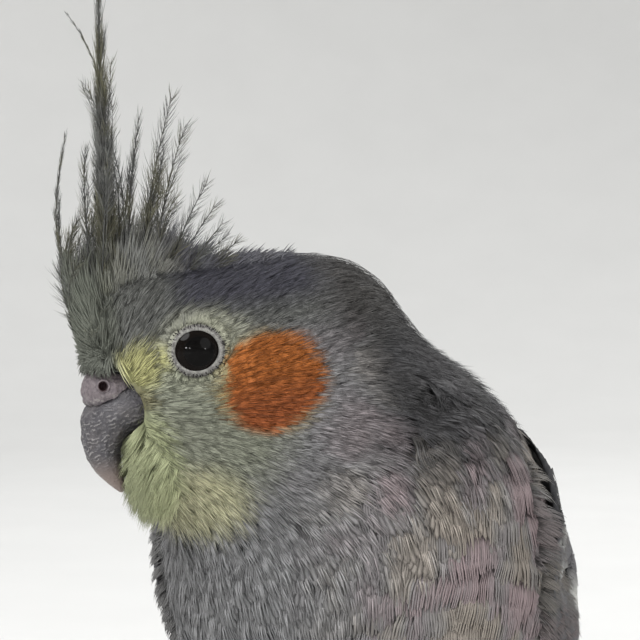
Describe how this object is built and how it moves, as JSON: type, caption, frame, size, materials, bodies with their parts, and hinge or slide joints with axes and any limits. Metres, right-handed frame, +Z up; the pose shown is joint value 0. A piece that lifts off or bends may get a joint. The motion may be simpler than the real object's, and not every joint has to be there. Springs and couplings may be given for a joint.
{
  "type": "cockatiel figure",
  "caption": "Life-size still figure of a grey cockatiel standing on the floor, its head turned aside, with a raised crest, hooked bill, folded wings and long tail.",
  "frame": {"origin": "middle of the bounding box, at floor level", "axes": "+Z up; the bird faces -Y, so its tail runs towards +Y and +X is its left side"},
  "size_m": [0.0732, 0.2384, 0.1606],
  "materials": {
    "face_feathers": "soft grey and pale yellow feathers with an orange cheek",
    "body_feathers": "soft mid-grey feathers",
    "crest_feathers": "grey plumes with an olive tint",
    "wing_feathers": "dark grey feathers with a white patch",
    "flight_feathers": "dark grey stiff feathers",
    "tail_feathers": "dark grey stiff feathers",
    "thigh_feathers": "soft grey feathers",
    "bill_horn": "grey flaking horn",
    "cere_skin": "bare grey-pink skin",
    "leg_skin": "scaled grey skin",
    "claw_horn": "dark horn",
    "eye": "wet, nearly black"
  },
  "bodies": {
    "root": {"bill_lower": "bill_horn", "bill_upper": "bill_horn", "cere": "cere_skin", "claw_left_hind": "claw_horn", "claw_left_inner": "claw_horn", "claw_left_outer": "claw_horn", "claw_left_outer_hind": "claw_horn", "claw_right_hind": "claw_horn", "claw_right_inner": "claw_horn", "claw_right_outer": "claw_horn", "claw_right_outer_hind": "claw_horn", "crest": "crest_feathers", "eye_left": "eye", "eye_right": "eye", "foot_left": "leg_skin", "foot_right": "leg_skin", "head": "face_feathers", "neck": "body_feathers", "shank_left": "leg_skin", "shank_right": "leg_skin", "tail": "tail_feathers", "thigh_left": "thigh_feathers", "thigh_right": "thigh_feathers", "trunk": "body_feathers", "wing_left_coverts": "wing_feathers", "wing_left_primaries": "flight_feathers", "wing_left_secondaries": "wing_feathers", "wing_right_coverts": "wing_feathers", "wing_right_primaries": "flight_feathers", "wing_right_secondaries": "wing_feathers"}
  },
  "joints": []
}
